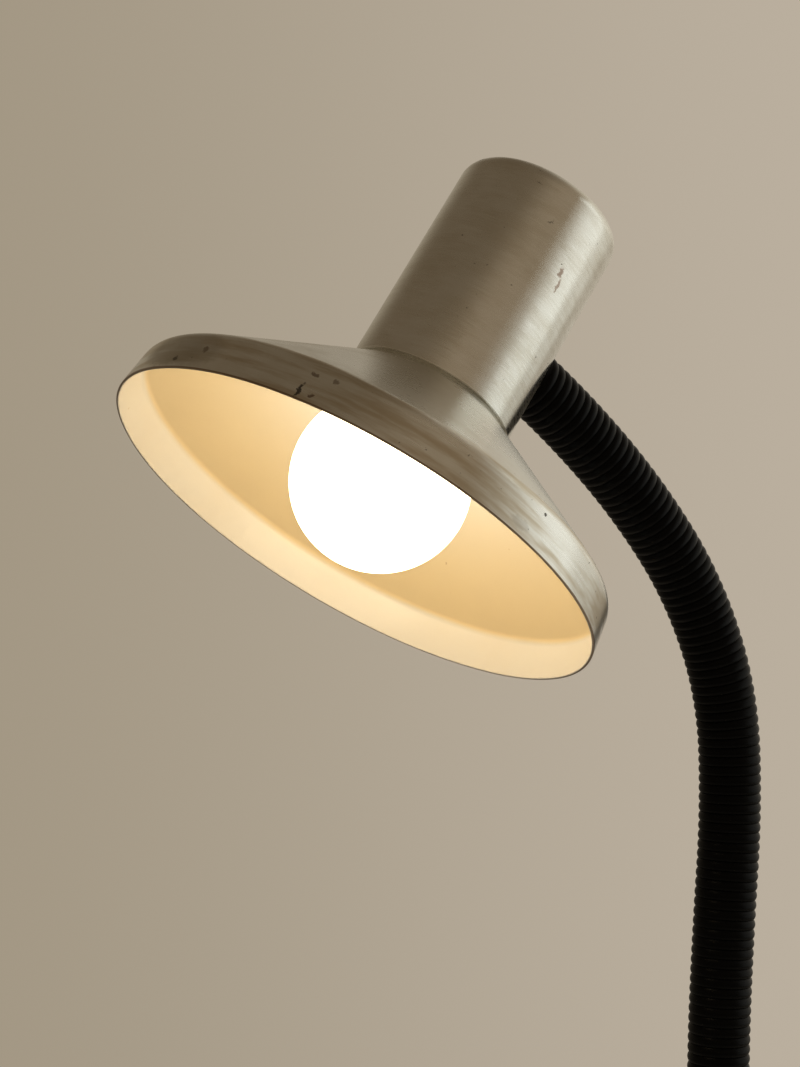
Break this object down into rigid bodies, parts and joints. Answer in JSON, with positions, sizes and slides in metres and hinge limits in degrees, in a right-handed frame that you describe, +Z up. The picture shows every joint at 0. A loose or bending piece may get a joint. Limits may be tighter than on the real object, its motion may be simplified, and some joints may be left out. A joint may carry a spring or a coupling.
{
  "type": "gooseneck floor lamp",
  "caption": "Floor reading lamp: round weighted base, straight pole, ribbed black gooseneck, and a cylindrical aluminium cup with a wide shallow shade and a bulb.",
  "frame": {"origin": "centre of the base's underside, on the pole's axis", "axes": "+Z up along the pole; the neck bends in the XZ plane, and the head leans out towards -X; +Y to the lamp's side"},
  "size_m": [0.3526, 0.24, 1.2844],
  "materials": {
    "base_felt": "pressed felt",
    "cast_weight": "raw casting",
    "base_metal": "spun and satin brushed",
    "pole_metal": "satin brushed along its length",
    "trim_metal": "turned, fine lathe lines",
    "cup_metal": "brushed round, clear lacquer",
    "shade_metal": "spun and brushed outside, cream enamel inside",
    "zinc_steel": "bright zinc plate",
    "spring_steel": "blackened",
    "brass": "drawn sheet",
    "neck_black": "ribbed, satin black",
    "grommet_rubber": "moulded",
    "cable_sheath": "smooth sheath",
    "wire_sheath": "smooth insulation",
    "holder_plastic": "moulded phenolic",
    "holder_ceramic": "pressed, unglazed",
    "bulb_opal": "opal, lit",
    "bulb_metal": "rolled thread",
    "switch_plastic": "moulded"
  },
  "bodies": {
    "stand": {"base_pad": "base_felt", "base_weight": "cast_weight", "base_cover": "base_metal", "cord_grommet": "grommet_rubber", "base_stud": "zinc_steel", "base_nut": "zinc_steel", "stand_lead": "cable_sheath", "pole_collar": "trim_metal", "pole_foot": "trim_metal", "pole_lower": "pole_metal", "pole_joiner": "trim_metal", "pole_upper": "pole_metal", "pole_bush": "brass"},
    "neck_1": {"neck_sleeve_1": "neck_black", "neck_core_1": "spring_steel", "neck_lead_1": "cable_sheath", "neck_ferrule": "trim_metal", "swivel_clip": "zinc_steel"},
    "neck_2": {"neck_sleeve_2": "neck_black", "neck_core_2": "spring_steel", "neck_lead_2": "cable_sheath"},
    "neck_3": {"neck_sleeve_3": "neck_black", "neck_core_3": "spring_steel", "neck_lead_3": "cable_sheath"},
    "neck_4": {"neck_sleeve_4": "neck_black", "neck_core_4": "spring_steel", "neck_lead_4": "cable_sheath"},
    "neck_5": {"neck_sleeve_5": "neck_black", "neck_core_5": "spring_steel", "neck_lead_5": "cable_sheath"},
    "neck_6": {"neck_sleeve_6": "neck_black", "neck_core_6": "spring_steel", "neck_lead_6": "cable_sheath"},
    "neck_7": {"neck_sleeve_7": "neck_black", "neck_core_7": "spring_steel", "neck_lead_7": "cable_sheath"},
    "neck_8": {"neck_sleeve_8": "neck_black", "neck_core_8": "spring_steel", "neck_lead_8": "cable_sheath"},
    "head": {"bulb_cap": "bulb_metal", "bulb_glass": "bulb_opal", "centre_contact": "brass", "cup": "cup_metal", "cup_wires": "wire_sheath", "holder_body": "holder_plastic", "holder_bracket": "zinc_steel", "holder_cap": "holder_plastic", "holder_insert": "holder_ceramic", "holder_nipple": "zinc_steel", "lock_nuts": "zinc_steel", "neck_core_9": "spring_steel", "neck_end": "zinc_steel", "neck_lead_9": "cable_sheath", "neck_sleeve_9": "neck_black", "screw_shell": "brass", "shade": "shade_metal", "shade_ring": "holder_plastic", "switch_bezel": "trim_metal", "switch_body": "switch_plastic"},
    "button": {"switch_button": "switch_plastic"}
  },
  "joints": [
    {"name": "neck_turn", "type": "hinge", "parent": "stand", "child": "neck_1", "pos_m": [0, 0, 0.863], "axis": [0, 0, 1], "range_deg": [-175, 175]},
    {"name": "neck_bend_1", "type": "hinge", "parent": "neck_1", "child": "neck_2", "pos_m": [0, 0, 0.909], "axis": [0, -1, 0], "range_deg": [-10, 10]},
    {"name": "neck_bend_2", "type": "hinge", "parent": "neck_2", "child": "neck_3", "pos_m": [0, 0, 0.951], "axis": [0, -1, 0], "range_deg": [-10, 10]},
    {"name": "neck_bend_3", "type": "hinge", "parent": "neck_3", "child": "neck_4", "pos_m": [0.00128, 0, 0.99297], "axis": [0, -1, 0], "range_deg": [-10, 10]},
    {"name": "neck_bend_4", "type": "hinge", "parent": "neck_4", "child": "neck_5", "pos_m": [0.00439, 0, 1.03486], "axis": [0, -1, 0], "range_deg": [-11, 9]},
    {"name": "neck_bend_5", "type": "hinge", "parent": "neck_5", "child": "neck_6", "pos_m": [0.00546, 0, 1.07682], "axis": [0, -1, 0], "range_deg": [-11, 9]},
    {"name": "neck_bend_6", "type": "hinge", "parent": "neck_6", "child": "neck_7", "pos_m": [-0.00344, 0, 1.11764], "axis": [0, -1, 0], "range_deg": [-11, 9]},
    {"name": "neck_bend_7", "type": "hinge", "parent": "neck_7", "child": "neck_8", "pos_m": [-0.02487, 0, 1.15359], "axis": [0, -1, 0], "range_deg": [-11, 9]},
    {"name": "neck_bend_8", "type": "hinge", "parent": "neck_8", "child": "head", "pos_m": [-0.05386, 0, 1.18392], "axis": [0, -1, 0], "range_deg": [-11, 9]},
    {"name": "switch_press", "type": "slide", "parent": "head", "child": "button", "axis": [-0.5736, 0, -0.8192], "range_m": [0, 0.0025], "stiffness_N_per_m": 600, "springref_m": -0.0015}
  ],
  "couplings": [
    {"joint": "neck_bend_2", "follows": "neck_bend_1", "ratio": 1},
    {"joint": "neck_bend_3", "follows": "neck_bend_1", "ratio": 1},
    {"joint": "neck_bend_5", "follows": "neck_bend_4", "ratio": 1},
    {"joint": "neck_bend_6", "follows": "neck_bend_4", "ratio": 1},
    {"joint": "neck_bend_7", "follows": "neck_bend_4", "ratio": 1},
    {"joint": "neck_bend_8", "follows": "neck_bend_4", "ratio": 1}
  ]
}
